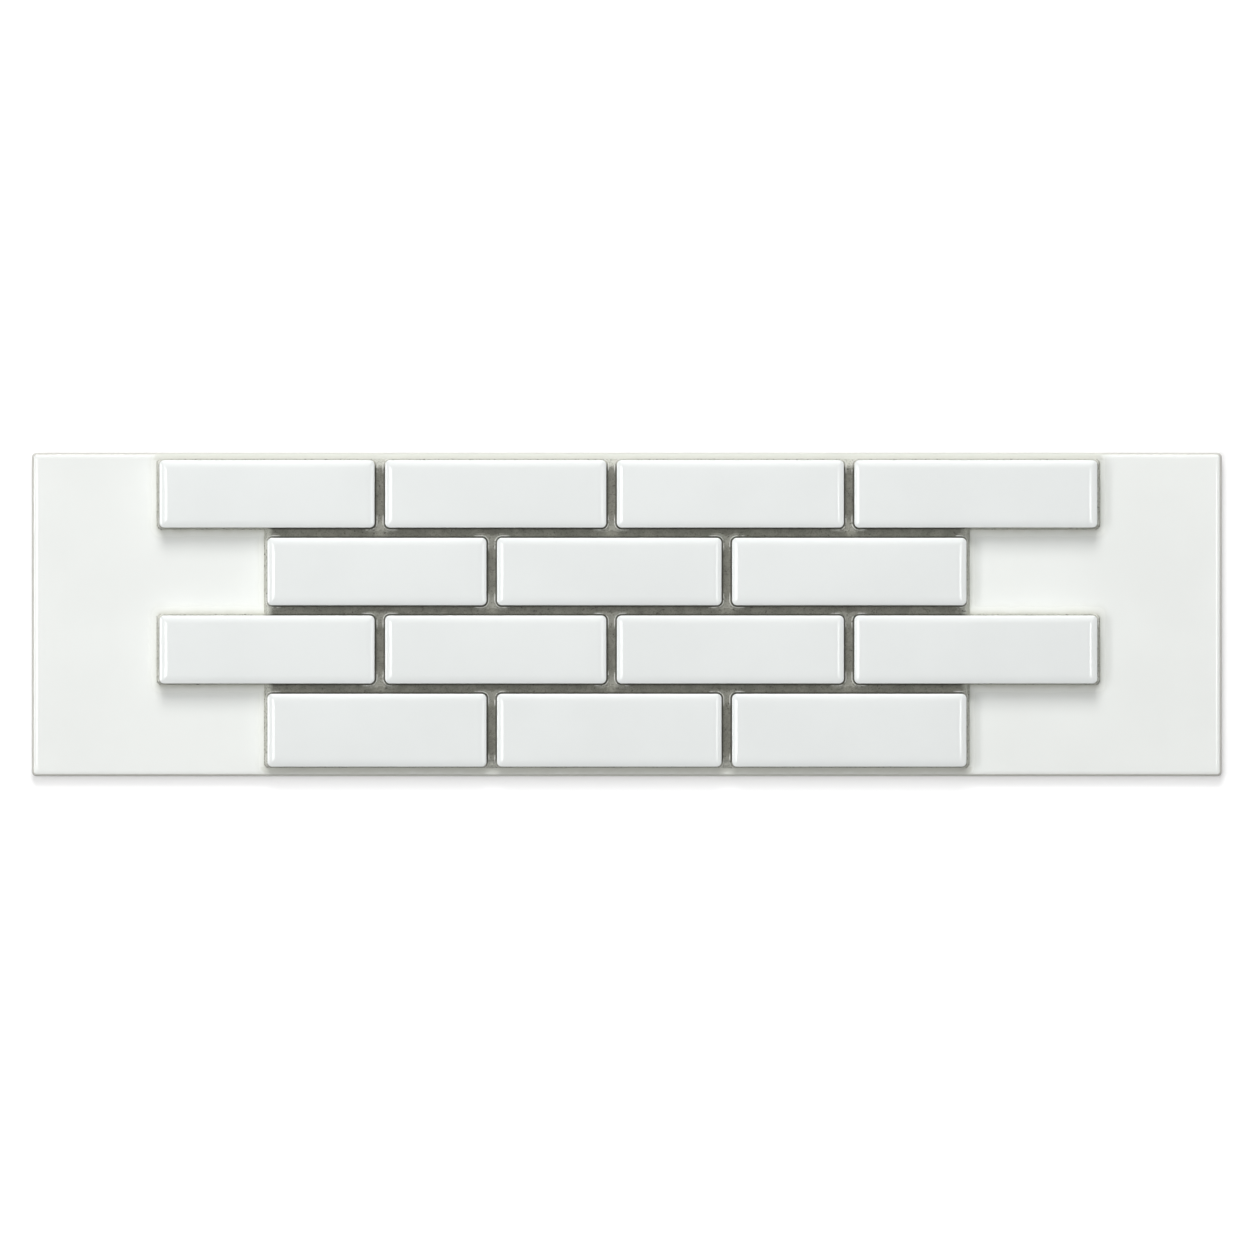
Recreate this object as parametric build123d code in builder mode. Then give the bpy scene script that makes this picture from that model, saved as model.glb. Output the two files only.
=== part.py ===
from build123d import *
from math import cos, radians
import os

# A long white glazed tile carrying a field of small white brick tiles, set in running bond in a grey bed.
# Origin: middle of the tile's underside. +X runs along the tile, +Y towards the first course, +Z up.

# Base tile, in millimetres
TILE_LENGTH = 390.0
TILE_WIDTH = 106.0
TILE_THICKNESS = 5.0
TILE_CORNER = 1.5
TILE_TOP_ARRIS = 1.2
TILE_FOOT_CHAMFER = 0.5

# Waffle pressed into the back of the base tile
BACK_COLUMNS = 12
BACK_ROWS = 4
BACK_BORDER = 7.0
BACK_RIB = 3.0
BACK_DEPTH = 0.6
BACK_DRAFT = 40.0

# Brick field: four courses from +Y to -Y, each brick's length from -X to +X
LONG_COURSE = (70.4, 72.4, 74.3, 79.5)
SHORT_COURSE = (71.7, 73.5, 76.7)
LONG_COURSE_START = -152.9
SHORT_COURSE_START = -117.6
COURSE_WIDTHS = (22.1, 22.1, 22.3, 23.9)
FIELD_TOP = 50.5
HEAD_JOINT = 3.4
BED_JOINT = 3.3

# One brick: upright sides, and a cushioned rim about 3 mm wide that eases into the flat face
BRICK_HEIGHT = 6.0
BRICK_CORNER = 2.0
BRICK_FOOT_CHAMFER = 0.4
ARRIS_RADIUS = 0.7
CUSHION_RADIUS = 6.4
CUSHION_ANGLE = 24.0

# Grey bed: a coat under the bricks that squeezes out as a bead, and the filling of the joints
COAT_THICKNESS = 1.0
END_SPREAD = 1.2
SIDE_SPREAD = 0.4
BEAD_HEIGHT = 2.2
BEAD_ROUND = 0.9
BEAD_CORNER = 0.8
JOINT_FILL_HEIGHT = 3.2

BRICK_SEAT = TILE_THICKNESS + COAT_THICKNESS
# How far a cutting section runs past the brick that it shapes
OVERRUN = 2.0


def course_layout():
    """Each course as its start along X, its middle in Y, its width and its bricks' lengths."""
    courses = []
    top = FIELD_TOP
    for number, width in enumerate(COURSE_WIDTHS):
        is_long = number % 2 == 0
        start = LONG_COURSE_START if is_long else SHORT_COURSE_START
        lengths = LONG_COURSE if is_long else SHORT_COURSE
        courses.append((start, top - width / 2, width, lengths))
        top -= width + BED_JOINT
    return courses


def course_span(lengths):
    """Length of a whole course, joints included."""
    return sum(lengths) + HEAD_JOINT * (len(lengths) - 1)


def cushion_section(span):
    """Cut across a brick, standing on its base: each side turns over a tight arris into a long easy curve."""
    half = span / 2
    turn = radians(CUSHION_ANGLE)
    drop = ARRIS_RADIUS * cos(turn) + CUSHION_RADIUS * (1 - cos(turn))
    with BuildSketch() as section:
        with BuildLine():
            side = Line((half, 0), (half, BRICK_HEIGHT - drop))
            arris = JernArc(side @ 1, (0, 1), ARRIS_RADIUS, 90 - CUSHION_ANGLE)
            cushion = JernArc(arris @ 1, arris % 1, CUSHION_RADIUS, CUSHION_ANGLE)
            Line(cushion @ 1, (0, BRICK_HEIGHT))
            Line((0, 0), (half, 0))
            mirror(about=Plane.YZ)
        make_face()
    return section.sketch


def make_brick(x, y, length, width):
    """A brick where two cushion sections, one along and one across, meet inside its rounded outline."""
    along = Plane(origin=(x, y + width / 2 + OVERRUN, BRICK_SEAT), x_dir=(1, 0, 0), z_dir=(0, -1, 0))
    across = Plane(origin=(x - length / 2 - OVERRUN, y, BRICK_SEAT), x_dir=(0, 1, 0), z_dir=(1, 0, 0))
    length_section = cushion_section(length)
    width_section = cushion_section(width)
    with BuildPart() as brick:
        with BuildSketch(along):
            add(length_section)
        extrude(amount=width + 2 * OVERRUN)
        with BuildSketch(across):
            add(width_section)
        extrude(amount=length + 2 * OVERRUN, mode=Mode.INTERSECT)
        with BuildSketch(Plane(origin=(x, y, BRICK_SEAT))):
            RectangleRounded(length, width, BRICK_CORNER)
        extrude(amount=BRICK_HEIGHT + OVERRUN, mode=Mode.INTERSECT)
        foot = brick.faces().sort_by(Axis.Z)[0]
        chamfer(foot.edges(), BRICK_FOOT_CHAMFER)
    return brick.part


def field_outline(courses, end_spread, side_spread):
    """Stepped outline of the brick field with its joints filled, let out at the courses' ends and long sides."""
    with BuildSketch() as outline:
        for start, y, width, lengths in courses:
            span = course_span(lengths)
            with Locations((start + span / 2, y)):
                Rectangle(span + 2 * end_spread, width + 2 * side_spread)
        for upper, lower in zip(courses, courses[1:]):
            _, upper_y, upper_width, _ = upper
            joint_y = upper_y - (upper_width + BED_JOINT) / 2
            start, _, _, lengths = min(upper, lower, key=lambda course: course_span(course[3]))
            span = course_span(lengths)
            with Locations((start + span / 2, joint_y)):
                Rectangle(span + 2 * end_spread, BED_JOINT)
        if end_spread:
            fillet(outline.vertices(), BEAD_CORNER)
    return outline.sketch


COURSES = course_layout()
BEAD_OUTLINE = field_outline(COURSES, END_SPREAD, SIDE_SPREAD)
FILL_OUTLINE = field_outline(COURSES, 0, 0)

# Base tile
with BuildPart() as base_tile:
    with BuildSketch():
        RectangleRounded(TILE_LENGTH, TILE_WIDTH, TILE_CORNER)
    extrude(amount=TILE_THICKNESS)
    fillet(base_tile.faces().sort_by(Axis.Z)[-1].edges(), TILE_TOP_ARRIS)
    chamfer(base_tile.faces().sort_by(Axis.Z)[0].edges(), TILE_FOOT_CHAMFER)
    column_pitch = (TILE_LENGTH - 2 * BACK_BORDER + BACK_RIB) / BACK_COLUMNS
    row_pitch = (TILE_WIDTH - 2 * BACK_BORDER + BACK_RIB) / BACK_ROWS
    with BuildSketch():
        with GridLocations(column_pitch, row_pitch, BACK_COLUMNS, BACK_ROWS):
            Rectangle(column_pitch - BACK_RIB, row_pitch - BACK_RIB)
    extrude(amount=BACK_DEPTH, taper=BACK_DRAFT, mode=Mode.SUBTRACT)

# Bricks, course by course
bricks = {}
for course_number, (course_start, course_y, course_width, brick_lengths) in enumerate(COURSES, 1):
    brick_start = course_start
    for brick_number, brick_length in enumerate(brick_lengths, 1):
        brick_x = brick_start + brick_length / 2
        bricks[f"brick_{course_number}_{brick_number}"] = make_brick(brick_x, course_y, brick_length, course_width)
        brick_start += brick_length + HEAD_JOINT

# Bed, with a pocket left by each brick
with BuildPart() as grout_bed:
    with BuildSketch(Plane.XY.offset(TILE_THICKNESS)):
        add(BEAD_OUTLINE)
    extrude(amount=BEAD_HEIGHT)
    fillet(grout_bed.faces().sort_by(Axis.Z)[-1].edges(), BEAD_ROUND)
    with BuildSketch(Plane.XY.offset(TILE_THICKNESS)):
        add(FILL_OUTLINE)
    extrude(amount=JOINT_FILL_HEIGHT)
    for brick in bricks.values():
        add(brick, mode=Mode.SUBTRACT)

base_tile.part.label = "base_tile"
grout_bed.part.label = "grout_bed"
for name, brick in bricks.items():
    brick.label = name

os.makedirs("parts", exist_ok=True)
export_step(base_tile.part, "parts/base_tile.step")
export_step(grout_bed.part, "parts/grout_bed.step")
for name, brick in bricks.items():
    export_step(brick, f"parts/{name}.step")
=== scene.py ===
import math

import bpy
import numpy as np
from bpy.props import FloatProperty, FloatVectorProperty, IntProperty, PointerProperty
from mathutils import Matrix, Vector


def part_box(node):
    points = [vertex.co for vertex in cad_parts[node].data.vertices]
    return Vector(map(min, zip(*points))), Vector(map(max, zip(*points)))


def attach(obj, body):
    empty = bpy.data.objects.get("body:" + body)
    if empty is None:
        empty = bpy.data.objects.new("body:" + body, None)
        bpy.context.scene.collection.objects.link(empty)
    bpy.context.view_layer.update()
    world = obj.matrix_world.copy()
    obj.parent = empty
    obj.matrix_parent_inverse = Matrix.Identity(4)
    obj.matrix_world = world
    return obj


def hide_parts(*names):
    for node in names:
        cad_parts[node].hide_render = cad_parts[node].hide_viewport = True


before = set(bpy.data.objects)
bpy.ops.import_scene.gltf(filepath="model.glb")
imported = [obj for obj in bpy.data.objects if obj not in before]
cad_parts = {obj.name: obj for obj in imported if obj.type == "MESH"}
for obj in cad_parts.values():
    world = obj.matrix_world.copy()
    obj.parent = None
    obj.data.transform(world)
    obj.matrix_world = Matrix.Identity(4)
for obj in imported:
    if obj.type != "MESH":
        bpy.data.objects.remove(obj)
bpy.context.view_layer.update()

bl_info = {
    "name": "Brick-bond tile panel",
    "version": (1, 0, 0),
    "blender": (4, 5, 0),
    "location": "View3D > Sidebar > Tile Panel",
    "description": "A long glazed tile carrying small glazed bricks in running bond on a grey bed",
    "category": "Add Mesh",
}

MM = 0.001
TILE_LOW, TILE_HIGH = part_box("base_tile")
BED_LOW, BED_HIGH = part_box("grout_bed")
BRICK_BOXES = {name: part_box(name) for name in sorted(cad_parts) if name.startswith("brick_")}
BRICK_LOW, BRICK_HIGH = BRICK_BOXES["brick_1_1"]
TOP_LEVEL = TILE_HIGH.z
COURSES = sorted({name.rsplit("_", 1)[0] for name in BRICK_BOXES})
# Distances that the bed's mesh carries for its shape and its finish
BED_DISTANCES = ("from_brick", "from_rim", "from_corner")

# Points nearer to each other than this are one point
WELD = 0.001 * MM
# Keeps divisions away from 0
TINY = 1e-6
# Edges sharper than this stay crisp, in degrees
SLAB_CREASE = 35
BED_CREASE = 70
# Each piece's own place in the noise
TILE_SEED = 1.0
BED_SEED = 4.0
BRICK_SEED = 10.0
BRICK_SEED_STEP = 7.3
WHITE = (1, 1, 1, 1)

# Lamps that face down: name, brightness, height, range along X, range along Y, and how they differ
# from a plain one. The flat faces mirror what is round the camera, so the lamps that glaze mirrors
# stand off to the sides.
LAMPS = (
    ("top", 2.6, 2.0, (-0.40, 0.15), (-0.75, 0.40), {"mirrored": False}),
    ("key_far", 12.0, 2.0, (-0.75, 0.45), (2.21, 3.40), {}),
    ("key", 9.0, 2.0, (-0.75, 0.45), (1.30, 2.20), {}),
    ("key_near", 2.4, 2.0, (-0.45, 0.40), (0.78, 1.29), {}),
    ("key_edge", 0.9, 2.0, (-0.45, 0.40), (0.44, 0.77), {}),
    ("left", 7.6, 2.6, (-2.41, -1.63), (-0.80, 0.80), {}),
    ("left_strip", 6.3, 1.5, (-0.60, -0.33), (-0.10, 0.10), {}),
    ("left_wing", 0.8, 1.5, (-0.96, -0.61), (-0.10, 0.10), {}),
    ("right_strip", 0.98, 1.0, (0.285, 0.41), (-0.07, 0.07), {"spread": 66}),
)

# The photograph's frame: its width in pixels and the pixel that the middle of the base tile falls on
PHOTO_PIXELS = 1254
TILE_MIDDLE_PIXEL = (626.85, 614.55)
TILE_LENGTH_PIXELS = 1191.5
# Width of the camera's sensor in millimetres, and how far it sees in metres
SENSOR_WIDTH = 36
CAMERA_REACH = 20

# White floor: half its side, its depth under the object, and what it reflects for light and for the camera
FLOOR_HALF = 6.0
FLOOR_DROP = 0.02 * MM
FLOOR_FOR_LIGHT = (0.80, 0.80, 0.80)
FLOOR_FOR_CAMERA = (0.68, 0.68, 0.68)
# Glow of the floor at the base tile, and what it gains close by and further out
GLOW_AT_TILE = 0.31
GLOW_CLOSE_BY = 0.27
GLOW_FURTHER_OUT = 0.39
CLOSE_BY = 5 * MM
FURTHER_OUT = 300 * MM


# Settings

def length(name, description, default_mm):
    """A size in metres, given here in millimetres."""
    return FloatProperty(
        name=name, description=description, default=default_mm * MM, unit="LENGTH", precision=5
    )


def angle(name, description, default_degrees):
    """An angle in radians, given here in degrees."""
    return FloatProperty(
        name=name, description=description, default=math.radians(default_degrees), subtype="ANGLE"
    )


def colour(name, description, default):
    """A colour in linear values."""
    return FloatVectorProperty(
        name=name, description=description, default=default, subtype="COLOR", size=3, min=0, max=1
    )


class TileSizes(bpy.types.PropertyGroup):
    """Sizes of the base tile."""

    corner: length("Corner", "Radius of the base tile's corners seen from above", 1.5)
    arris: length("Arris", "Radius of the tight bend at the top of the sides", 1.0)
    cushion: length("Cushion", "Radius of the easy curve between arris and face", 4.8)
    cushion_angle: angle("Cushion angle", "Slope at which the arris runs into the cushion", 15.4)
    crown: length("Crown", "How far the middle of the face stands above its rim", 0)
    foot: length("Foot chamfer", "Chamfer round the underside", 0.5)
    glaze_line: length("Glaze line", "Height over the underside where the glaze ends", 0.9)
    wave: length("Glaze wave", "Height of the slow waves in the glazed face", 0.03)
    wave_span: length("Wave span", "Distance over which the glazed face rises and falls", 45)
    columns: IntProperty(name="Columns", description="Recesses along the back", default=12)
    rows: IntProperty(name="Rows", description="Recesses across the back", default=4)
    border: length("Border", "Level border round the recesses", 7)
    rib: length("Rib", "Width of the ribs between the recesses", 3)
    recess: length("Recess", "Depth of the recesses", 0.6)
    recess_corner: length("Recess corner", "Radius of the recesses' corners seen from below", 1.5)


class BrickSizes(bpy.types.PropertyGroup):
    """Sizes of the small bricks."""

    corner: length("Corner", "Radius of a brick's corners seen from above", 1.6)
    arris: length("Arris", "Radius of the tight bend at the top of the sides", 0.35)
    cushion: length("Cushion", "Radius of the easy curve between arris and face", 9.5)
    cushion_angle: angle("Cushion angle", "Slope at which the arris runs into the cushion", 16)
    crown: length("Crown", "How far the middle of a face stands above its rim", 0.2)
    foot: length("Foot chamfer", "Chamfer round the underside", 0.4)
    glaze_line: length("Glaze line", "Height over the underside where the glaze ends", 0.8)
    wave: length("Glaze wave", "Height of the slow waves in a glazed face", 0.02)
    wave_span: length("Wave span", "Distance over which a glazed face rises and falls", 16)


class BedSizes(bpy.types.PropertyGroup):
    """Sizes of the grey bed."""

    cell: length("Cell", "Spacing of the bed's mesh", 0.4)
    tuck: length("Tuck", "How far the bed runs under the bricks' sides", 0.5)
    rim_corner: length("Rim corner", "Radius of the bead's corners seen from above", 1.6)
    end_spread: length("End spread", "Reach of the bead past the ends of a course", 1.2)
    side_spread: length("Side spread", "Reach of the bead past the long sides", 0.4)
    bead: length("Bead height", "Height of the bead over the base tile", 2.2)
    fill: length("Fill height", "Height of the joints' filling over the base tile", 3.2)
    rise: length("Rise", "Distance over which the bead climbs to the filling", 1.6)
    crevice: length("Crevice", "Depth of the dark line along each brick", 0.9)
    crevice_width: length("Crevice width", "Width of the dark line along each brick", 0.7)
    lumps: length("Lumps", "Height of the coarse unevenness", 0.28)
    grain: length("Grain", "Height of the fine unevenness", 0.12)


class Finishes(bpy.types.PropertyGroup):
    """Colours of the finishes."""

    tile_glaze: colour("Base tile glaze", "Warm white of the base tile", (0.842, 0.862, 0.838))
    brick_glaze: colour("Brick glaze", "Cool white of the bricks", (0.80, 0.825, 0.815))
    # The base tile's edge colour is thin glaze and painted shade: a dark rim line over the arris
    tile_edge_thin_glaze_and_shade: colour("Base tile edge", "Glaze drawn thin over the base tile's arris", (0.56, 0.555, 0.515))
    # The bricks' edge colour is painted light: a little paler than the glaze, it lifts the shade on their
    # arris
    brick_edge_painted_light: colour("Brick edge", "Glaze pooled over a brick's arris", (0.815, 0.84, 0.83))
    # The haze is a dull film on the strips along the long edges, and close round the courses its colour is
    # also painted shade
    haze: colour("Haze", "Film that the bed leaves on the base tile beside the bricks", (0.66, 0.67, 0.615))
    biscuit: colour("Biscuit", "Fired body under the glaze", (0.74, 0.69, 0.60))
    bed_light: colour("Light bed", "Lightest grey of the joints", (0.212, 0.21, 0.178))
    # The darkest grey is also the colour of the painted shade in the pinholes and along the bricks
    bed_dark: colour("Dark bed", "Darkest grey of the joints", (0.074, 0.072, 0.058))
    # The bead's pale grey is also the colour of the painted light at the bricks' corners
    bead: colour("Bead", "Pale grey where the bed feathers out at the free edges", (0.62, 0.625, 0.56))
    # The smear's pale colour is a painted highlight on the raised, polished smear round the bricks' corners
    smear_and_glint: colour("Smear", "Pale smear round the bricks' corners", (0.85, 0.85, 0.80))


class Studio(bpy.types.PropertyGroup):
    """Lamps, fill and camera."""

    lens: FloatProperty(name="Lens", description="Focal length of the camera, in millimetres", default=300)
    lamp_level: FloatProperty(name="Lamp level", description="Brightness of all lamps together", default=1.0)
    fill_level: FloatProperty(name="Fill level", description="Brightness of the even fill", default=0.17)


# Formulas in node trees

class Field:
    """A socket of a node tree that takes part in arithmetic, so that formulas can be read as formulas."""

    def __init__(self, tree, socket):
        self.tree = tree
        self.socket = socket

    def apply(self, operation, *others, clamp=False):
        """This value and the others, through one Math node."""
        node = self.tree.nodes.new("ShaderNodeMath")
        node.operation = operation
        node.use_clamp = clamp
        for place, term in zip(node.inputs, (self, *others)):
            plug(self.tree, term, place)
        return Field(self.tree, node.outputs[0])

    def __add__(self, other):
        return self.apply("ADD", other)

    __radd__ = __add__

    def __mul__(self, other):
        return self.apply("MULTIPLY", other)

    def __sub__(self, other):
        return self.apply("SUBTRACT", other)

    def __rsub__(self, other):
        return self.apply("MULTIPLY", -1).apply("ADD", other)

    def __truediv__(self, other):
        return self.apply("DIVIDE", other)

    def __rtruediv__(self, other):
        return self.apply("POWER", -1) * other

    def clamped(self):
        """The value kept between 0 and 1."""
        return self.apply("ADD", 0.0, clamp=True)

    def smoothed(self):
        """The value kept between 0 and 1, with soft ends."""
        kept = self.clamped()
        return kept * kept * (3 - kept * 2)


def plug(tree, value, place):
    """Links a Field or socket to an input, or sets the input to a plain value."""
    if isinstance(value, Field):
        tree.links.new(value.socket, place)
    elif isinstance(value, bpy.types.NodeSocket):
        tree.links.new(value, place)
    else:
        place.default_value = value


def add_node(tree, kind, settings=(), **inputs):
    """A node with its own settings, and inputs set or linked by name, with _ for a space."""
    node = tree.nodes.new(kind)
    for name, value in dict(settings).items():
        setattr(node, name, value)
    for name, value in inputs.items():
        plug(tree, value, node.inputs[name.replace("_", " ")])
    return node


def coordinates(tree, point):
    """X, Y and Z of a point."""
    parts = add_node(tree, "ShaderNodeSeparateXYZ", Vector=point)
    return [Field(tree, parts.outputs[axis]) for axis in "XYZ"]


def speckle(tree, point, span, detail=2.0, seed=0.0):
    """Noise from 0 to 1 with features about span metres wide."""
    node = add_node(
        tree,
        "ShaderNodeTexNoise",
        {"noise_dimensions": "4D"},
        Vector=point,
        W=seed,
        Scale=1 / span,
        Detail=detail,
    )
    return Field(tree, node.outputs[0])


def geometry_tree(name, inputs):
    """A Geometry Nodes tree with the named inputs, as its tree and its inputs as a dictionary."""
    tree = bpy.data.node_groups.new(name, "GeometryNodeTree")
    tree.interface.new_socket("Geometry", in_out="INPUT", socket_type="NodeSocketGeometry")
    for label, kind in inputs.items():
        tree.interface.new_socket(label, in_out="INPUT", socket_type="NodeSocket" + kind)
    tree.interface.new_socket("Geometry", in_out="OUTPUT", socket_type="NodeSocketGeometry")
    entry = tree.nodes.new("NodeGroupInput")
    return tree, {label: Field(tree, entry.outputs[label]) for label in ("Geometry", *inputs)}


def welded(tree, *parts):
    """The parts joined, with points that meet made one."""
    joined = tree.nodes.new("GeometryNodeJoinGeometry")
    for part in parts:
        tree.links.new(part, joined.inputs[0])
    merged = add_node(tree, "GeometryNodeMergeByDistance", Geometry=joined.outputs[0], Distance=WELD)
    return merged.outputs[0]


def shade_by_angle(tree, geometry, crease_degrees):
    """Smooth shading with every edge sharper than the crease kept crisp."""
    smooth = add_node(tree, "GeometryNodeSetShadeSmooth", Geometry=geometry)
    bend = Field(tree, tree.nodes.new("GeometryNodeInputMeshEdgeAngle").outputs["Unsigned Angle"])
    soft = bend.apply("LESS_THAN", math.radians(crease_degrees))
    edges = add_node(tree, "GeometryNodeSetShadeSmooth", {"domain": "EDGE"}, Geometry=smooth.outputs[0])
    plug(tree, soft, edges.inputs["Shade Smooth"])
    return edges.outputs[0]


def end_tree(tree, geometry, crease_degrees, material):
    """Shades what the tree made, realizes it, gives it its material and puts it out."""
    shaded = shade_by_angle(tree, geometry, crease_degrees)
    realized = add_node(tree, "GeometryNodeRealizeInstances", Geometry=shaded)
    finish = add_node(tree, "GeometryNodeSetMaterial", Geometry=realized.outputs[0], Material=material)
    tree.links.new(finish.outputs[0], tree.nodes.new("NodeGroupOutput").inputs[0])
    return tree


# Each ring of a slab's grid has its part in the cross-section, counted from the foot inwards
RINGS = 44
FOOT_RINGS = 1
SIDE_RINGS = 4
ARRIS_RINGS = 8
CUSHION_RINGS = 14
# Share of a ring's side, from its middle, that is straight
STRAIGHT_SHARE = 0.8
# Corners of the inner rings ease into this radius, over this distance
LEAST_CORNER = 0.35 * MM
CORNER_EASE = 0.3 * MM
# How much of the rim's colour, thin glaze with painted shade on the base tile and painted light on the
# bricks, lies on the sides against the arris, and how fast it comes and goes over the rings
SIDE_RIM_SHARE = 0.35
RIM_MASK_RISE = 6
RIM_MASK_FALL = 12

SLAB_INPUTS = {
    "Length": "Float",
    "Width": "Float",
    "Height": "Float",
    "Centre": "Vector",
    "Corner": "Float",
    "Arris": "Float",
    "Cushion": "Float",
    "Cushion angle": "Float",
    "Crown": "Float",
    "Foot": "Float",
    "Wave": "Float",
    "Wave span": "Float",
    "Seed": "Float",
    "Material": "Material",
}


def slab_tree():
    """A rounded slab with a cushioned rim: a square grid whose rings become foot, sides, rim and face."""
    tree, given = geometry_tree("Cushioned slab", SLAB_INPUTS)
    side_points = 2 * RINGS + 1
    grid = add_node(
        tree,
        "GeometryNodeMeshGrid",
        Size_X=2.0,
        Size_Y=2.0,
        Vertices_X=side_points,
        Vertices_Y=side_points,
    )
    u, v, _ = coordinates(tree, tree.nodes.new("GeometryNodeInputPosition").outputs[0])
    size_u, size_v = u.apply("ABSOLUTE"), v.apply("ABSOLUTE")
    ring = size_u.apply("MAXIMUM", size_v).apply("MAXIMUM", TINY)
    inward = (1 - ring) * RINGS
    along_ring = size_u.apply("MINIMUM", size_v) / ring
    on_end = size_u.apply("GREATER_THAN", size_v)

    # Cross-section: inset from the outline and height over the foot
    turn = given["Cushion angle"]
    arris, cushion, foot = given["Arris"], given["Cushion"], given["Foot"]
    drop = arris * turn.apply("COSINE") + cushion * (1 - turn.apply("COSINE"))
    foot_part = (inward / FOOT_RINGS).clamped()
    side_part = ((inward - FOOT_RINGS) / SIDE_RINGS).clamped()
    arris_part = ((inward - FOOT_RINGS - SIDE_RINGS) / ARRIS_RINGS).clamped()
    cushion_start = FOOT_RINGS + SIDE_RINGS + ARRIS_RINGS
    cushion_part = ((inward - cushion_start) / CUSHION_RINGS).clamped()
    face_start = cushion_start + CUSHION_RINGS
    face_part = ((inward - face_start) / (RINGS - face_start)).clamped()
    steep = math.pi / 2 - arris_part * (math.pi / 2 - turn)
    gentle = turn * (1 - cushion_part)
    inset = (
        foot * (1 - foot_part)
        + arris * (1 - steep.apply("SINE"))
        + cushion * (turn.apply("SINE") - gentle.apply("SINE"))
    )
    side_height = given["Height"] - drop - foot
    height = (
        foot * foot_part
        + side_height * side_part
        + arris * steep.apply("COSINE")
        + cushion * (gentle.apply("COSINE") - turn.apply("COSINE"))
    )

    # Outline of this ring, and the point's place on it
    shrink = 1 - face_part
    half_length = (given["Length"] * 0.5 - inset) * shrink
    half_width = (given["Width"] * 0.5 - inset) * shrink
    radius = (given["Corner"] - inset).apply("SMOOTH_MAX", LEAST_CORNER, CORNER_EASE) * shrink
    straight = (along_ring / STRAIGHT_SHARE).clamped()
    bend = ((along_ring - STRAIGHT_SHARE) / (1 - STRAIGHT_SHARE)).clamped() * (math.pi / 4)
    reach_out = radius * bend.apply("COSINE") - radius
    reach_along = radius * bend.apply("SINE")
    x_on_end = half_length + reach_out
    y_on_end = straight * (half_width - radius) + reach_along
    x_on_side = straight * (half_length - radius) + reach_along
    y_on_side = half_width + reach_out
    x = (x_on_side + on_end * (x_on_end - x_on_side)) * u.apply("SIGN")
    y = (y_on_side + on_end * (y_on_end - y_on_side)) * v.apply("SIGN")

    # The face is crowned and rises and falls a little, always below the stated height
    x_share, y_share = x / (given["Length"] * 0.5), y / (given["Width"] * 0.5)
    dome = (1 - x_share * x_share) * (1 - y_share * y_share)
    spot = add_node(tree, "ShaderNodeCombineXYZ", X=x, Y=y)
    waves = speckle(tree, spot.outputs[0], given["Wave span"], detail=1.0, seed=given["Seed"])
    above_foot = (foot_part * side_part).clamped()
    sink = given["Crown"] * (1 - dome) + given["Wave"] * waves
    place = add_node(tree, "ShaderNodeCombineXYZ", X=x, Y=y, Z=height - sink * above_foot)
    moved = add_node(tree, "ShaderNodeVectorMath", {"operation": "ADD"})
    plug(tree, place.outputs[0], moved.inputs[0])
    plug(tree, given["Centre"], moved.inputs[1])

    # Where the rim's colour lies, most over the arris: thin glaze with painted shade on the base tile,
    # painted light on the bricks; stored while the points still lie on the grid
    thin = (arris_part * RIM_MASK_RISE).clamped() * (1 - SIDE_RIM_SHARE) + SIDE_RIM_SHARE
    marked = add_node(
        tree,
        "GeometryNodeStoreNamedAttribute",
        {"data_type": "FLOAT", "domain": "POINT"},
        Geometry=grid.outputs[0],
        Name="arris",
        Value=thin * (1 - cushion_part * RIM_MASK_FALL).clamped(),
    )
    shaped = add_node(tree, "GeometryNodeSetPosition", Geometry=marked.outputs[0], Position=moved.outputs[0])

    # Underside, inside the edges that have only one face
    neighbours = Field(tree, tree.nodes.new("GeometryNodeInputMeshEdgeNeighbors").outputs[0])
    open_edge = neighbours.apply("LESS_THAN", 1.5)
    rim = add_node(tree, "GeometryNodeMeshToCurve", Mesh=shaped.outputs[0], Selection=open_edge)
    filled = add_node(tree, "GeometryNodeFillCurve", {"mode": "NGONS"}, Curve=rim.outputs[0])
    flipped = add_node(tree, "GeometryNodeFlipFaces", Mesh=filled.outputs[0])
    level = add_node(tree, "ShaderNodeCombineXYZ", Z=coordinates(tree, given["Centre"])[2])
    lowered = add_node(
        tree, "GeometryNodeTransform", Geometry=flipped.outputs[0], Translation=level.outputs[0]
    )
    closed = welded(tree, shaped.outputs[0], lowered.outputs[0])
    return end_tree(tree, closed, SLAB_CREASE, given["Material"])


def slab_values(low, high, sizes, seed, material):
    """Inputs of the slab's tree for a piece that fills the box from low to high."""
    return {
        "Length": high.x - low.x,
        "Width": high.y - low.y,
        "Height": high.z - low.z,
        "Centre": ((low.x + high.x) / 2, (low.y + high.y) / 2, low.z),
        "Corner": sizes.corner,
        "Arris": sizes.arris,
        "Cushion": sizes.cushion,
        "Cushion angle": sizes.cushion_angle,
        "Crown": sizes.crown,
        "Foot": sizes.foot,
        "Wave": sizes.wave,
        "Wave span": sizes.wave_span,
        "Seed": seed,
        "Material": material,
    }


# Cutters of the recesses: how far under the slab they start, the size of their top against their mouth,
# and the points that round each corner
CUTTER_OVERLAP = 0.2 * MM
CUTTER_TAPER = 0.94
CUTTER_CORNER_POINTS = 5


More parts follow.
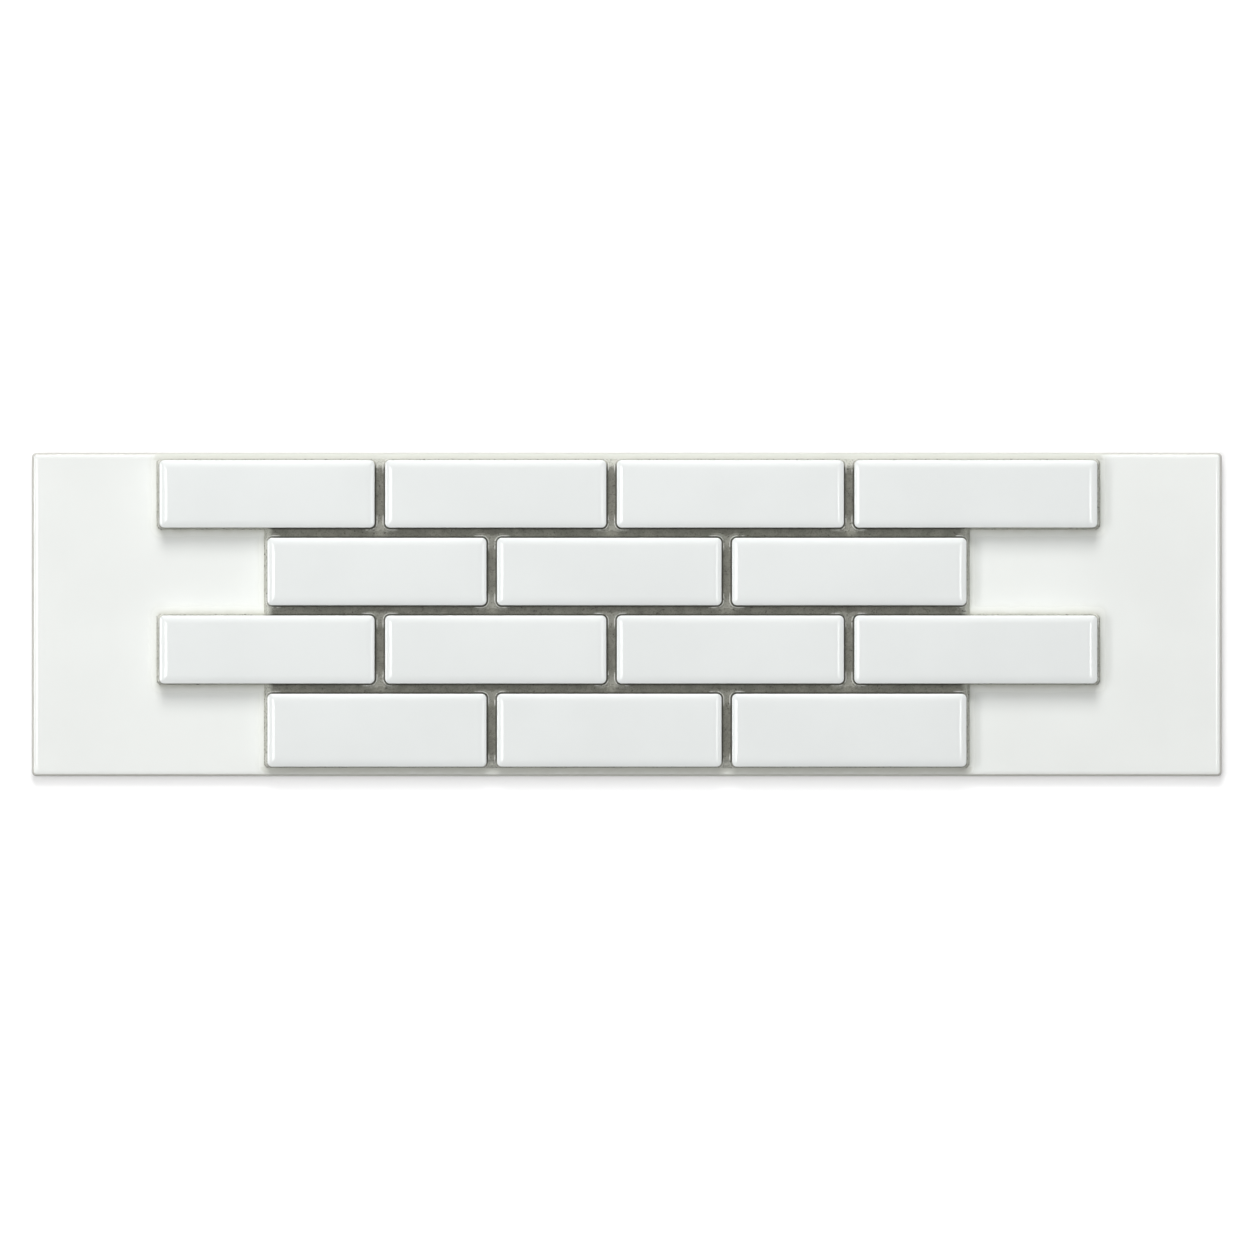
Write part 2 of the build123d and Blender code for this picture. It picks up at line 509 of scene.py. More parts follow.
def back_tree():
    """Presses a grid of shallow recesses with drafted walls into the underside of a slab."""
    tree, given = geometry_tree(
        "Pressed back",
        {
            "Columns": "Int",
            "Rows": "Int",
            "Column pitch": "Float",
            "Row pitch": "Float",
            "Rib": "Float",
            "Depth": "Float",
            "Recess corner": "Float",
            "Material": "Material",
        },
    )
    outline = add_node(
        tree,
        "GeometryNodeCurvePrimitiveQuadrilateral",
        Width=given["Column pitch"] - given["Rib"],
        Height=given["Row pitch"] - given["Rib"],
    )
    eased = add_node(
        tree,
        "GeometryNodeFilletCurve",
        {"mode": "POLY"},
        Curve=outline.outputs[0],
        Count=CUTTER_CORNER_POINTS,
        Radius=given["Recess corner"],
    )
    mouth = add_node(tree, "GeometryNodeFillCurve", {"mode": "NGONS"}, Curve=eased.outputs[0])
    cutter_height = given["Depth"] + CUTTER_OVERLAP
    raised = add_node(tree, "GeometryNodeExtrudeMesh", Mesh=mouth.outputs[0], Offset_Scale=cutter_height)
    drafted = add_node(
        tree,
        "GeometryNodeScaleElements",
        Geometry=raised.outputs["Mesh"],
        Selection=raised.outputs["Top"],
        Scale=CUTTER_TAPER,
    )
    closing = add_node(tree, "GeometryNodeFlipFaces", Mesh=mouth.outputs[0])
    cutter = welded(tree, drafted.outputs[0], closing.outputs[0])

    columns, rows = given["Columns"], given["Rows"]
    places = add_node(
        tree,
        "GeometryNodeMeshGrid",
        Size_X=(columns - 1) * given["Column pitch"],
        Size_Y=(rows - 1) * given["Row pitch"],
        Vertices_X=columns,
        Vertices_Y=rows,
    )
    lowered = add_node(
        tree, "GeometryNodeTransform", Geometry=places.outputs[0], Translation=(0, 0, -CUTTER_OVERLAP)
    )
    cutters = add_node(tree, "GeometryNodeInstanceOnPoints", Points=lowered.outputs[0], Instance=cutter)
    solid_cutters = add_node(tree, "GeometryNodeRealizeInstances", Geometry=cutters.outputs[0])
    pressed = add_node(tree, "GeometryNodeMeshBoolean", {"operation": "DIFFERENCE", "solver": "EXACT"})
    plug(tree, given["Geometry"], pressed.inputs["Mesh 1"])
    plug(tree, solid_cutters.outputs[0], pressed.inputs["Mesh 2"])
    return end_tree(tree, pressed.outputs[0], SLAB_CREASE, given["Material"])


# Widths of the bed's unevenness, how far its rim wanders and is drawn in, and its least thickness
RIM_SPAN = 2.5 * MM
LUMP_SPAN = 1.6 * MM
GRAIN_SPAN = 0.55 * MM
RIM_WANDER = 0.35 * MM
RIM_DRAWN_IN = 0.15 * MM
BED_LEAST = 0.01 * MM
# Height of the closed slab that the bed's top is lifted from
BED_START = 0.05 * MM


def bed_tree():
    """Raises flat cells into the bed: a bead at the free edges, filled joints, crevices along the bricks."""
    tree, given = geometry_tree(
        "Grey bed",
        {
            "Bead": "Float",
            "Spread": "Float",
            "Fill": "Float",
            "Rise": "Float",
            "Crevice": "Float",
            "Crevice width": "Float",
            "Lumps": "Float",
            "Grain": "Float",
            "Seed": "Float",
            "Material": "Material",
        },
    )

    position = tree.nodes.new("GeometryNodeInputPosition").outputs[0]

    def attribute(name):
        node = add_node(tree, "GeometryNodeInputNamedAttribute", {"data_type": "FLOAT"}, Name=name)
        return Field(tree, node.outputs["Attribute"])

    def noise(span, detail):
        """Noise from -1 to 1 with features about span metres wide."""
        return speckle(tree, position, span, detail, given["Seed"]) * 2 - 1

    from_rim = attribute("from_rim") + noise(RIM_SPAN, 2) * RIM_WANDER - RIM_DRAWN_IN
    from_brick = attribute("from_brick")
    out = (from_rim / given["Spread"]).clamped()
    bead = given["Bead"] * (1 - (1 - out) * (1 - out))
    climb = ((from_rim - given["Spread"]) / given["Rise"]).smoothed()
    near = (1 - from_brick / given["Crevice width"]).clamped()
    depth = given["Crevice"] * near * near * out
    uneven = (noise(LUMP_SPAN, 2) * given["Lumps"] + noise(GRAIN_SPAN, 3) * given["Grain"]) * out
    height = bead + climb * (given["Fill"] - given["Bead"]) - depth + uneven

    raised = add_node(
        tree, "GeometryNodeExtrudeMesh", Mesh=given["Geometry"], Offset_Scale=BED_START, Individual=False
    )
    lift = add_node(tree, "ShaderNodeCombineXYZ", Z=height.apply("MAXIMUM", BED_LEAST) - BED_START)
    lifted = add_node(
        tree,
        "GeometryNodeSetPosition",
        Geometry=raised.outputs["Mesh"],
        Selection=raised.outputs["Top"],
        Offset=lift.outputs[0],
    )
    floor = add_node(tree, "GeometryNodeFlipFaces", Mesh=given["Geometry"])
    closed = welded(tree, lifted.outputs[0], floor.outputs[0])
    return end_tree(tree, closed, BED_CREASE, given["Material"])


def run_tree(piece, tree, values):
    """Runs a Geometry Nodes tree on a piece and keeps the result as a plain mesh."""
    modifier = piece.modifiers.new(tree.name, "NODES")
    modifier.node_group = tree
    sockets = {item.name: item.identifier for item in tree.interface.items_tree if item.in_out == "INPUT"}
    for name, value in values.items():
        modifier[sockets[name]] = value
    graph = bpy.context.evaluated_depsgraph_get()
    mesh = bpy.data.meshes.new_from_object(piece.evaluated_get(graph), depsgraph=graph)
    piece.modifiers.remove(modifier)
    piece.data = mesh
    mesh.name = piece.name


def new_piece(name, mesh=None):
    """A mesh object at the origin, empty unless a mesh is given."""
    piece = bpy.data.objects.new(name, mesh or bpy.data.meshes.new(name))
    bpy.context.scene.collection.objects.link(piece)
    return piece


def seat(piece, nodes):
    """The piece rides with the model and stands for its CAD nodes."""
    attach(piece, "root")
    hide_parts(*nodes)


# Materials

# Widths of the patterns in the glaze and the biscuit
CLOUD_SPAN = 35 * MM
SMUDGE_SPAN = 12 * MM
LINE_SPAN = 6 * MM
HAZE_SPAN = 4 * MM
PEEL_SPAN = 2.2 * MM
GRIT_SPAN = 0.5 * MM
# Widths of the patterns in the cement
MOTTLE_SPAN = 3.5 * MM
SMEAR_AND_GLINT_SPAN = 1.8 * MM
PIT_SPAN = 0.9 * MM
SAND_SPAN = 0.45 * MM

# Bands of a noise that lies round 0.5, where its patches begin and where they are full
SOFT_PATCHES = (0.35, 0.65)
GRIT_PATCHES = (0.42, 0.6)
SAND_PATCHES = (0.5, 0.68)
# The pits' band places the painted shade in the pinholes
PIT_PAINTED_SHADE = (0.64, 0.72)
PIT_HOLLOWS = (0.62, 0.72)
SMEAR_AND_GLINT_PATCHES = (0.36, 0.5)

# Distances from the courses where the haze begins to thin out and where it ends; close round the courses the
# haze is painted shade as well as a film
CLOSE_HAZE_AND_SHADE = (0.4 * MM, 2.0 * MM)
WIDE_HAZE_AND_SHADE = (1.5 * MM, 5.0 * MM)
STRIP_HAZE = (1.4 * MM, 3.4 * MM)
CLOSE_HAZE_AND_SHADE_SHARE = 0.55
HAZE_WANDER = 1.6 * MM
# Half the width of the soft step onto the strips along the long edges
STRIP_STEP = 0.2 * MM

# Distances where the cement's pale rim, its painted light at the bricks' corners, its painted shade along
# the bricks and its smear with a painted highlight begin to fade and where they end
PALE_FROM_RIM = (1.0 * MM, 3.4 * MM)
PAINTED_LIGHT_FROM_CORNER = (1.5 * MM, 5 * MM)
PAINTED_SHADE_FROM_BRICK = (0.15 * MM, 0.7 * MM)
SMEAR_AND_GLINT_FROM_CORNER = (2.6 * MM, 4.8 * MM)
# The line of the smear with its painted highlight: how far from a brick its middle lies, and half its width
SMEAR_AND_GLINT_OFFSET = 0.68 * MM
SMEAR_AND_GLINT_HALF_WIDTH = 0.26 * MM
# Part of the painted shade along the bricks that is lost where the bed is pale
PAINTED_SHADE_LOST = 0.7

# The line where the glaze ends over the foot: how far it wanders and how soft it is
LINE_WANDER = 0.6 * MM
LINE_SOFTNESS = 0.25 * MM
# Shade of the clouds in the glaze and of the grit in the biscuit
CLOUD_SHADE = 0.975
GRIT_SHADE = 0.82
# Roughness of the glaze, and what smudges and haze add to it
GLOSS = 0.055
SMUDGE_DULLNESS = 0.04
HAZE_DULLNESS = 0.65
GLAZE_IOR = 1.52
# Roughness of biscuit and cement, what the sand adds, and what the smears take away
MATT = 0.75
SAND_DULLNESS = 0.2
SMEAR_POLISH = 0.5
# Heights of the fine relief, in millimetres
GLAZE_PEEL = 0.006
BISCUIT_RELIEF = 0.09
SAND_RELIEF = 0.12
PIT_RELIEF = 0.15
SMEAR_RELIEF = 0.2


def material_tree(name):
    """A new material with an empty node tree and its output and shader."""
    material = bpy.data.materials.new(name)
    material.use_nodes = True
    tree = material.node_tree
    tree.nodes.clear()
    shader = tree.nodes.new("ShaderNodeBsdfPrincipled")
    output = tree.nodes.new("ShaderNodeOutputMaterial")
    tree.links.new(shader.outputs[0], output.inputs[0])
    return material, tree, shader


def object_point(tree):
    """Object coordinates, in metres."""
    return tree.nodes.new("ShaderNodeTexCoord").outputs["Object"]


def stored(tree, name):
    """A value that the mesh carries under the name."""
    node = tree.nodes.new("ShaderNodeAttribute")
    node.attribute_name = name
    return Field(tree, node.outputs["Fac"])


def blended(tree, share, first, second):
    """A colour that goes from first to second as share goes from 0 to 1."""
    node = add_node(tree, "ShaderNodeMix", {"data_type": "RGBA"})
    plug(tree, share, node.inputs[0])
    for place, value in ((node.inputs[6], first), (node.inputs[7], second)):
        plug(tree, value if isinstance(value, bpy.types.NodeSocket) else (*value, 1.0), place)
    return node.outputs[2]


def stepped(value, low, high):
    """0 below low, 1 above high, and a soft step between."""
    return ((value - low) / (high - low)).smoothed()


def faded(value, low, high):
    """1 below low, 0 above high, and a soft step between."""
    return 1 - stepped(value, low, high)


def relief(tree, shader, height):
    """Fine relief on a shader, from its height in millimetres."""
    bump = add_node(tree, "ShaderNodeBump", Strength=1.0, Distance=MM, Height=height)
    plug(tree, bump.outputs[0], shader.inputs["Normal"])


def plan_reach(tree, point, boxes):
    """Distance in plan from the nearest of the boxes, 0 inside them."""
    place = coordinates(tree, point)
    reach = None
    for low, high in boxes:
        over = []
        for along, least, most in zip(place[:2], low, high):
            offset = along - (least + most) / 2
            over.append((offset.apply("ABSOLUTE") - (most - least) / 2).apply("MAXIMUM", 0.0))
        distance = (over[0] * over[0] + over[1] * over[1]).apply("SQRT")
        reach = distance if reach is None else reach.apply("MINIMUM", distance)
    return reach


def past_long_sides(tree, point):
    """1 on the narrow strips along the base tile's long edges, and 0 between them."""
    boxes = course_boxes()
    low, high = min(box[0][1] for box in boxes), max(box[1][1] for box in boxes)
    _, across, _ = coordinates(tree, point)
    offset = (across - (low + high) / 2).apply("ABSOLUTE") - (high - low) / 2
    return stepped(offset, -STRIP_STEP, STRIP_STEP)


def haze_film_and_shade(tree, point):
    """How thick the haze lies: thinner with the distance from the courses, where it is also painted shade,
    but full on the strips.
    """
    wander = (speckle(tree, point, HAZE_SPAN, detail=3.0, seed=8.0) - 0.5) * HAZE_WANDER
    ragged = plan_reach(tree, point, course_boxes()) + wander
    close = faded(ragged, *CLOSE_HAZE_AND_SHADE)
    wide = faded(ragged, *WIDE_HAZE_AND_SHADE)
    strip = past_long_sides(tree, point) * faded(ragged, *STRIP_HAZE)
    return (close * CLOSE_HAZE_AND_SHADE_SHARE + wide * (1 - CLOSE_HAZE_AND_SHADE_SHARE)).apply("MAXIMUM", strip)


def glaze_material(name, glaze, edge, biscuit, line_height, haze=None):
    """Opaque glossy glaze down to a slightly wandering line near the foot, and bare biscuit under it."""
    material, tree, shader = material_tree(name)
    point = object_point(tree)
    _, _, height = coordinates(tree, point)
    line = height + (speckle(tree, point, LINE_SPAN) - 0.5) * LINE_WANDER
    glazed = stepped(line, line_height, line_height + LINE_SOFTNESS)

    cloud = speckle(tree, point, CLOUD_SPAN, detail=3.0)
    shaded_glaze = tuple(value * CLOUD_SHADE for value in glaze)
    face = blended(tree, stepped(cloud, *SOFT_PATCHES), glaze, shaded_glaze)
    # Over the arris: thin glaze with painted shade on the base tile, painted light on the bricks
    drawn = blended(tree, stored(tree, "arris"), face, edge)
    film = 0.0
    # The haze is a dull film, and close round the courses its colour is also painted shade
    if haze:
        film = haze_film_and_shade(tree, point)
        drawn = blended(tree, film, drawn, haze)
    grit = speckle(tree, point, GRIT_SPAN, detail=3.0)
    dark_biscuit = tuple(value * GRIT_SHADE for value in biscuit)
    body = blended(tree, stepped(grit, *GRIT_PATCHES), biscuit, dark_biscuit)
    plug(tree, blended(tree, glazed, body, drawn), shader.inputs["Base Color"])

    smudges = speckle(tree, point, SMUDGE_SPAN, detail=4.0, seed=3.0)
    gloss = GLOSS + smudges * SMUDGE_DULLNESS + film * HAZE_DULLNESS
    plug(tree, MATT + glazed * (gloss - MATT), shader.inputs["Roughness"])
    shader.inputs["IOR"].default_value = GLAZE_IOR

    peel = speckle(tree, point, PEEL_SPAN, detail=1.0, seed=1.0) * GLAZE_PEEL
    rough = grit * BISCUIT_RELIEF
    relief(tree, shader, rough + glazed * (peel - rough))
    return material


def bed_material(name, finishes):
    """Grey cement with mottling and sand, pale where it thins out, with painted light at the bricks'
    corners, painted shade in its pinholes and along the bricks, and a painted highlight on the smear round
    the corners.
    """
    material, tree, shader = material_tree(name)
    point = object_point(tree)
    from_brick, from_rim, from_corner = (stored(tree, distance) for distance in BED_DISTANCES)
    mottle = speckle(tree, point, MOTTLE_SPAN, detail=4.0)
    sand = speckle(tree, point, SAND_SPAN, detail=3.0, seed=2.0)
    pits = speckle(tree, point, PIT_SPAN, detail=2.0, seed=5.0)
    feathered = faded(from_rim + (mottle - 0.5) * MM, *PALE_FROM_RIM)
    # Painted shade along the bricks, in the crevice, weaker where the bed is pale
    crevice = faded(from_brick, *PAINTED_SHADE_FROM_BRICK) * (1 - feathered * PAINTED_SHADE_LOST)
    # The smear round the bricks' corners is raised and polished, and its pale colour is a painted highlight
    broken = stepped(speckle(tree, point, SMEAR_AND_GLINT_SPAN, detail=2.0, seed=11.0), *SMEAR_AND_GLINT_PATCHES)
    off_line = (from_brick - SMEAR_AND_GLINT_OFFSET).apply("ABSOLUTE") / SMEAR_AND_GLINT_HALF_WIDTH
    smear_and_glint = (1 - off_line).smoothed() * faded(from_corner, *SMEAR_AND_GLINT_FROM_CORNER) * broken

    # Layers over the mottled cement: where each lies, how strong it is, and its colour. The first is painted
    # light at the bricks' corners, the dark of the pits and of the crevice is painted shade, and the smear
    # carries a painted highlight
    light, dark = finishes.bed_light, finishes.bed_dark
    middle = tuple((2 * one + two) / 3 for one, two in zip(light, dark))
    joint = blended(tree, stepped(mottle, *SOFT_PATCHES), middle, light)
    layers = (
        (faded(from_corner, *PAINTED_LIGHT_FROM_CORNER), 0.22, finishes.bead),
        (feathered, 1.0, finishes.bead),
        (stepped(sand, *SAND_PATCHES), 0.5, dark),
        (stepped(pits, *PIT_PAINTED_SHADE), 0.8, dark),
        (crevice, 0.75, dark),
        (smear_and_glint, 1.0, finishes.smear_and_glint),
    )
    for share, strength, tint in layers:
        joint = blended(tree, share * strength, joint, tint)
    plug(tree, joint, shader.inputs["Base Color"])
    plug(tree, MATT + sand * SAND_DULLNESS - smear_and_glint * SMEAR_POLISH, shader.inputs["Roughness"])
    hollows = stepped(pits, *PIT_HOLLOWS)
    relief(tree, shader, sand * SAND_RELIEF - hollows * PIT_RELIEF + smear_and_glint * SMEAR_RELIEF)
    return material


def shown_level(tree):
    """1 for what the camera sees, also in a gloss or through something clear, and 0 for light."""
    path = tree.nodes.new("ShaderNodeLightPath")
    camera = Field(tree, path.outputs["Is Camera Ray"])
    glossy = Field(tree, path.outputs["Is Glossy Ray"])
    clear = Field(tree, path.outputs["Is Transmission Ray"])
    return camera.apply("MAXIMUM", glossy).apply("MAXIMUM", clear)


# Outlines, for the bed

# How far past the bed's outline its cells are kept, for the rim to wander in
RIM_MARGIN = 0.3 * MM


def rectangle_distance(x, y, low, high, corner=0.0):
    """Signed distance to a rounded rectangle, negative inside."""
    middle_x, middle_y = (low[0] + high[0]) / 2, (low[1] + high[1]) / 2
    over_x = np.abs(x - middle_x) - (high[0] - low[0]) / 2 + corner
    over_y = np.abs(y - middle_y) - (high[1] - low[1]) / 2 + corner
    outside = np.hypot(np.maximum(over_x, 0), np.maximum(over_y, 0))
    return outside + np.minimum(np.maximum(over_x, over_y), 0) - corner


def course_boxes():
    """Lowest and highest corner in plan of each course."""
    boxes = []
    for course in COURSES:
        members = [box for name, box in BRICK_BOXES.items() if name.startswith(course + "_")]
        low = (min(box[0].x for box in members), min(box[0].y for box in members))
        high = (max(box[1].x for box in members), max(box[1].y for box in members))
        boxes.append((low, high))
    return boxes


def bed_outline_distance(x, y, end_spread, side_spread, corner):
    """Signed distance to the bed's stepped outline, negative inside."""
    courses = course_boxes()
    distance = np.full(x.shape, np.inf)
    for low, high in courses:
        grown = (low[0] - end_spread, low[1] - side_spread), (high[0] + end_spread, high[1] + side_spread)
        distance = np.minimum(distance, rectangle_distance(x, y, *grown, corner=corner))
    for upper, lower in zip(courses, courses[1:]):
        left = max(upper[0][0], lower[0][0]) - end_spread
        right = min(upper[1][0], lower[1][0]) + end_spread
        bottom = (lower[0][1] + lower[1][1]) / 2
        top = (upper[0][1] + upper[1][1]) / 2
        distance = np.minimum(distance, rectangle_distance(x, y, (left, bottom), (right, top)))
    return distance


def bed_cells(sizes, brick_corner):
    """Flat mesh of the bed where it shows, with each point's distance to the nearest brick, rim and corner.

    Its grid reaches one cell past the bed on every side.
    """
    columns = math.ceil((BED_HIGH.x - BED_LOW.x) / sizes.cell) + 3
    rows = math.ceil((BED_HIGH.y - BED_LOW.y) / sizes.cell) + 3
    xs = BED_LOW.x - sizes.cell + sizes.cell * np.arange(columns)
    ys = BED_LOW.y - sizes.cell + sizes.cell * np.arange(rows)
    x, y = np.meshgrid(xs, ys)
    from_brick = np.full(x.shape, np.inf)
    from_corner = np.full(x.shape, np.inf)
    for low, high in BRICK_BOXES.values():
        distance = rectangle_distance(x, y, low, high, brick_corner)
        corner_x = np.minimum(np.abs(x - low.x), np.abs(x - high.x))
        corner_y = np.minimum(np.abs(y - low.y), np.abs(y - high.y))
        from_corner = np.where(distance < from_brick, np.hypot(corner_x, corner_y), from_corner)
        from_brick = np.minimum(from_brick, distance)
    from_rim = -bed_outline_distance(x, y, sizes.end_spread, sizes.side_spread, sizes.rim_corner)
    kept = (from_brick > -sizes.tuck) & (from_rim > -RIM_MARGIN)
    cells = kept[:-1, :-1] & kept[1:, :-1] & kept[:-1, 1:] & kept[1:, 1:]
    row, column = np.nonzero(cells)
    corner = row * columns + column
    quads = np.stack((corner, corner + 1, corner + 1 + columns, corner + columns), axis=1)
    used, quads = np.unique(quads, return_inverse=True)
    points = np.stack((x.ravel()[used], y.ravel()[used], np.full(len(used), TOP_LEVEL)), axis=1)
    mesh = bpy.data.meshes.new("bed_cells")
    mesh.from_pydata(points.tolist(), [], quads.reshape(-1, 4).tolist())
    for name, values in zip(BED_DISTANCES, (from_brick, from_rim, from_corner)):
        attribute = mesh.attributes.new(name, "FLOAT", "POINT")
        attribute.data.foreach_set("value", values.ravel()[used].astype(np.float32))
    return mesh


# Operators

class TILEPANEL_OT_camera(bpy.types.Operator):
    """Place the camera straight above the tile, framed as in the photograph"""

    bl_idname = "tilepanel.camera"
    bl_label = "Place Camera"

    def execute(self, context):
        studio = context.scene.tile_studio
        data = bpy.data.cameras.new("camera")
        data.lens = studio.lens
        data.sensor_width = SENSOR_WIDTH
        frame_width = (TILE_HIGH.x - TILE_LOW.x) * PHOTO_PIXELS / TILE_LENGTH_PIXELS
        pixel = frame_width / PHOTO_PIXELS
        focus_height = (TOP_LEVEL + BRICK_HIGH.z) / 2
        camera = bpy.data.objects.new("camera", data)
        camera.location = (
            (PHOTO_PIXELS / 2 - TILE_MIDDLE_PIXEL[0]) * pixel,
            (TILE_MIDDLE_PIXEL[1] - PHOTO_PIXELS / 2) * pixel,
            focus_height + frame_width * data.lens / data.sensor_width,
        )
        data.clip_end = CAMERA_REACH
        context.scene.collection.objects.link(camera)
        context.scene.camera = camera
        return {"FINISHED"}


class TILEPANEL_OT_base_tile(bpy.types.Operator):
    """Make the long glazed base tile with its pressed back"""

    bl_idname = "tilepanel.base_tile"
    bl_label = "Make Base Tile"

    def execute(self, context):
        sizes, finishes = context.scene.tile_sizes, context.scene.tile_finishes
        glaze = glaze_material(
            "base tile glaze",
            finishes.tile_glaze,
            finishes.tile_edge_thin_glaze_and_shade,
            finishes.biscuit,
            TILE_LOW.z + sizes.glaze_line,
            haze=finishes.haze,
        )
        tile_length, tile_width = TILE_HIGH.x - TILE_LOW.x, TILE_HIGH.y - TILE_LOW.y
        piece = new_piece("base_tile_glazed")
        values = slab_values(TILE_LOW, TILE_HIGH, sizes, TILE_SEED, glaze)
        # Exactly on the origin, without the box's rounding, so that the recesses cut a clean underside
        values["Centre"] = (0.0, 0.0, 0.0)
        run_tree(piece, slab_tree(), values)
        run_tree(
            piece,
            back_tree(),
            {
                "Columns": sizes.columns,
                "Rows": sizes.rows,
                "Column pitch": (tile_length - 2 * sizes.border + sizes.rib) / sizes.columns,
                "Row pitch": (tile_width - 2 * sizes.border + sizes.rib) / sizes.rows,
                "Rib": sizes.rib,
                "Depth": sizes.recess,
                "Recess corner": sizes.recess_corner,
                "Material": glaze,
            },
        )
        seat(piece, ["base_tile"])
        return {"FINISHED"}


class TILEPANEL_OT_bricks(bpy.types.Operator):
    """Make every small brick where its CAD node lies"""

    bl_idname = "tilepanel.bricks"
    bl_label = "Make Bricks"

    def execute(self, context):
        sizes, finishes = context.scene.brick_sizes, context.scene.tile_finishes
        glaze = glaze_material(
            "brick glaze",
            finishes.brick_glaze,
            finishes.brick_edge_painted_light,
            finishes.biscuit,
            BRICK_LOW.z + sizes.glaze_line,
        )
        tree = slab_tree()
        for number, (name, (low, high)) in enumerate(BRICK_BOXES.items()):
            piece = new_piece(name + "_glazed")
            seed = BRICK_SEED + BRICK_SEED_STEP * number
            run_tree(piece, tree, slab_values(low, high, sizes, seed, glaze))
            seat(piece, [name])
        return {"FINISHED"}


class TILEPANEL_OT_bed(bpy.types.Operator):
    """Spread the grey bed between and round the bricks"""

    bl_idname = "tilepanel.bed"
    bl_label = "Spread Bed"

    def execute(self, context):
        sizes, finishes = context.scene.bed_sizes, context.scene.tile_finishes
        cement = bed_material("grey bed", finishes)
        piece = new_piece("grout_bed_raked", bed_cells(sizes, context.scene.brick_sizes.corner))
        run_tree(
            piece,
            bed_tree(),
            {
                "Bead": sizes.bead,
                "Spread": sizes.end_spread,
                "Fill": sizes.fill,
                "Rise": sizes.rise,
                "Crevice": sizes.crevice,
                "Crevice width": sizes.crevice_width,
                "Lumps": sizes.lumps,
                "Grain": sizes.grain,
                "Seed": BED_SEED,
                "Material": cement,
            },
        )
        seat(piece, ["grout_bed"])
        return {"FINISHED"}


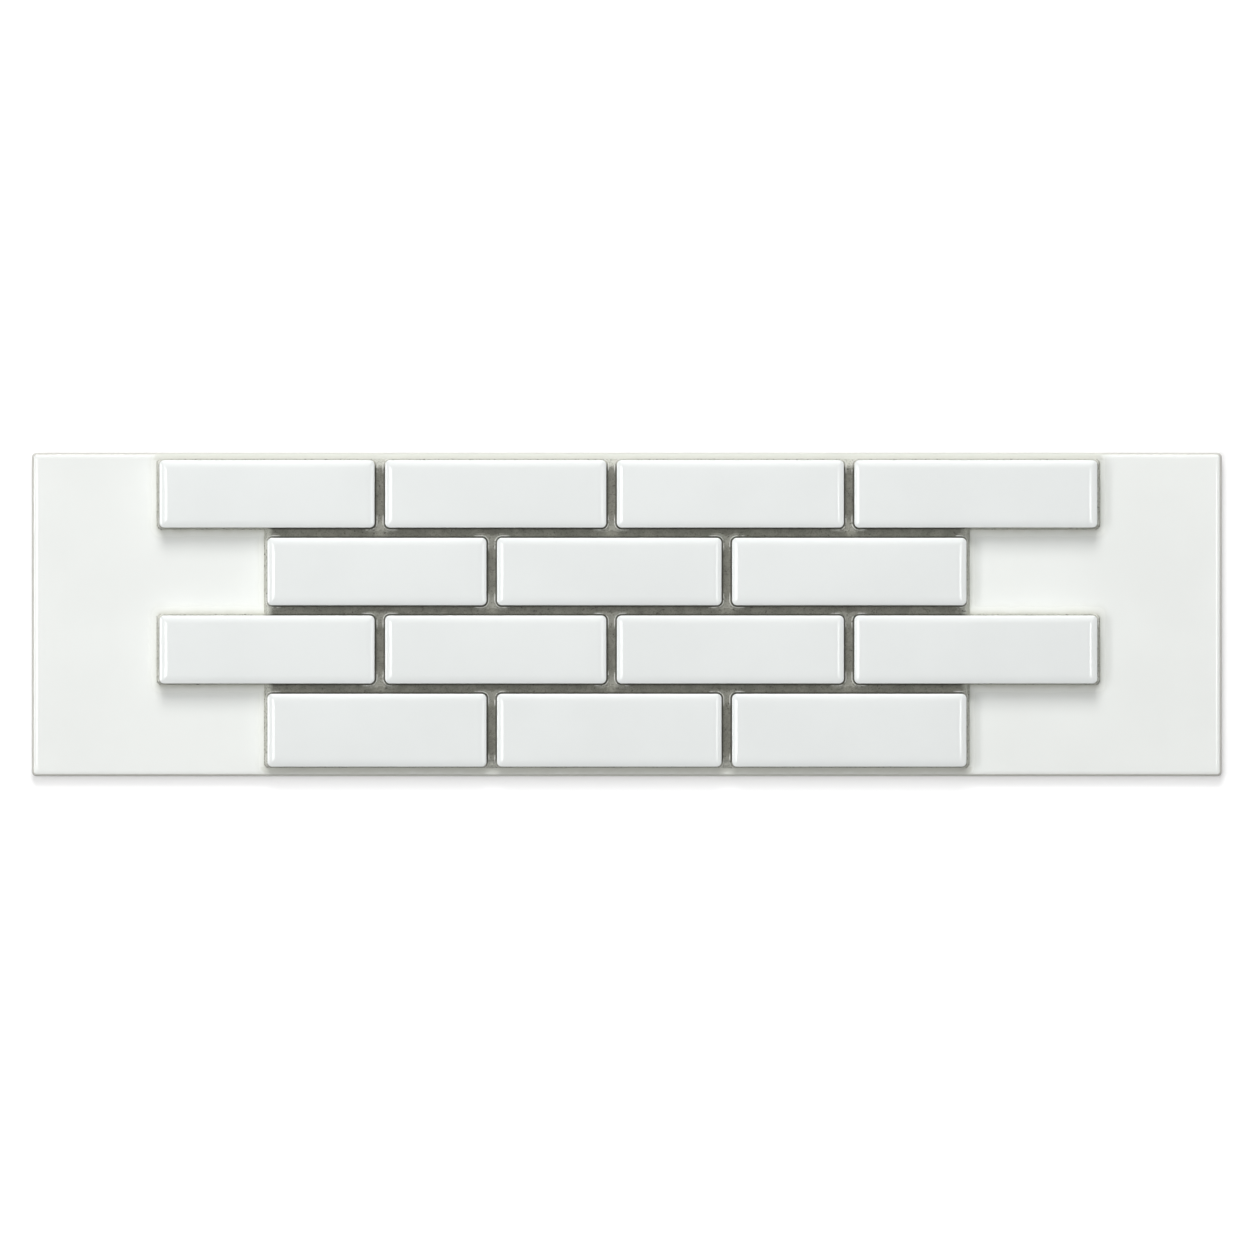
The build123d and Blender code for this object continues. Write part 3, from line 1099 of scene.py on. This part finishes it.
class TILEPANEL_OT_stage(bpy.types.Operator):
    """Lay the white floor and set the lamps and the even fill"""

    bl_idname = "tilepanel.stage"
    bl_label = "Set Stage"

    def lamp(self, context, name, level, height, x_range, y_range, mirrored=True, spread=180):
        """A soft box facing down at a height, between two pairs of distances; a grid narrows its spread."""
        data = bpy.data.lights.new(name, "AREA")
        data.shape = "RECTANGLE"
        data.size = x_range[1] - x_range[0]
        data.size_y = y_range[1] - y_range[0]
        data.energy = level * math.pi * data.size * data.size_y
        data.spread = math.radians(spread)
        lamp = bpy.data.objects.new(name, data)
        lamp.location = (sum(x_range) / 2, sum(y_range) / 2, height)
        lamp.visible_camera = False
        lamp.visible_glossy = mirrored
        context.scene.collection.objects.link(lamp)

    def floor(self, context):
        """A wide white floor that keeps the object's shadow close to it and is plain white further out."""
        corners = ((-1, -1), (1, -1), (1, 1), (-1, 1))
        points = [(x * FLOOR_HALF, y * FLOOR_HALF, -FLOOR_DROP) for x, y in corners]
        mesh = bpy.data.meshes.new("floor")
        mesh.from_pydata(points, [], [(0, 1, 2, 3)])
        material, tree, shader = material_tree("white floor")
        shown = shown_level(tree)
        plug(tree, blended(tree, shown, FLOOR_FOR_LIGHT, FLOOR_FOR_CAMERA), shader.inputs["Base Color"])
        shader.inputs["Emission Color"].default_value = WHITE
        reach = plan_reach(tree, object_point(tree), [(TILE_LOW, TILE_HIGH)])
        gained = (reach / CLOSE_BY).clamped() * GLOW_CLOSE_BY
        glow = GLOW_AT_TILE + gained + stepped(reach, 0.0, FURTHER_OUT) * GLOW_FURTHER_OUT
        plug(tree, shown * glow, shader.inputs["Emission Strength"])
        shader.inputs["Roughness"].default_value = 1.0
        shader.inputs["Specular IOR Level"].default_value = 0.0
        mesh.materials.append(material)
        floor = new_piece("floor", mesh)

    def world(self, context):
        """Even fill, shown as white."""
        world = bpy.data.worlds.new("studio")
        world.use_nodes = True
        tree = world.node_tree
        tree.nodes.clear()
        shown = shown_level(tree)
        fill = context.scene.tile_studio.fill_level
        strength = fill + shown * (1 - fill)
        background = add_node(tree, "ShaderNodeBackground", Color=WHITE, Strength=strength)
        output = tree.nodes.new("ShaderNodeOutputWorld")
        tree.links.new(background.outputs[0], output.inputs[0])
        context.scene.world = world

    def execute(self, context):
        studio = context.scene.tile_studio
        self.floor(context)
        self.world(context)
        for name, level, height, x_range, y_range, differences in LAMPS:
            self.lamp(context, name, level * studio.lamp_level, height, x_range, y_range, **differences)
        context.scene.view_settings.view_transform = "Standard"
        return {"FINISHED"}


class TILEPANEL_PT_panel(bpy.types.Panel):
    """The pieces of the tile panel, in the order in which they are made."""

    bl_idname = "TILEPANEL_PT_panel"
    bl_label = "Tile Panel"
    bl_space_type = "VIEW_3D"
    bl_region_type = "UI"
    bl_category = "Tile Panel"

    def draw(self, context):
        for operator in OPERATORS:
            self.layout.operator(operator.bl_idname)


OPERATORS = (
    TILEPANEL_OT_camera,
    TILEPANEL_OT_base_tile,
    TILEPANEL_OT_bed,
    TILEPANEL_OT_bricks,
    TILEPANEL_OT_stage,
)
GROUPS = {
    "tile_sizes": TileSizes,
    "brick_sizes": BrickSizes,
    "bed_sizes": BedSizes,
    "tile_finishes": Finishes,
    "tile_studio": Studio,
}


def register():
    """Adds the settings, operators and panel to Blender."""
    for group in GROUPS.values():
        bpy.utils.register_class(group)
    for name, group in GROUPS.items():
        setattr(bpy.types.Scene, name, PointerProperty(type=group))
    for operator in OPERATORS:
        bpy.utils.register_class(operator)
    bpy.utils.register_class(TILEPANEL_PT_panel)


def unregister():
    """Takes the settings, operators and panel out again."""
    bpy.utils.unregister_class(TILEPANEL_PT_panel)
    for operator in reversed(OPERATORS):
        bpy.utils.unregister_class(operator)
    for name, group in GROUPS.items():
        delattr(bpy.types.Scene, name)
        bpy.utils.unregister_class(group)


def main():
    """Builds the whole scene."""
    register()
    bpy.ops.tilepanel.camera()
    bpy.ops.tilepanel.base_tile()
    bpy.ops.tilepanel.bed()
    bpy.ops.tilepanel.bricks()
    bpy.ops.tilepanel.stage()


if __name__ == "__main__":
    main()
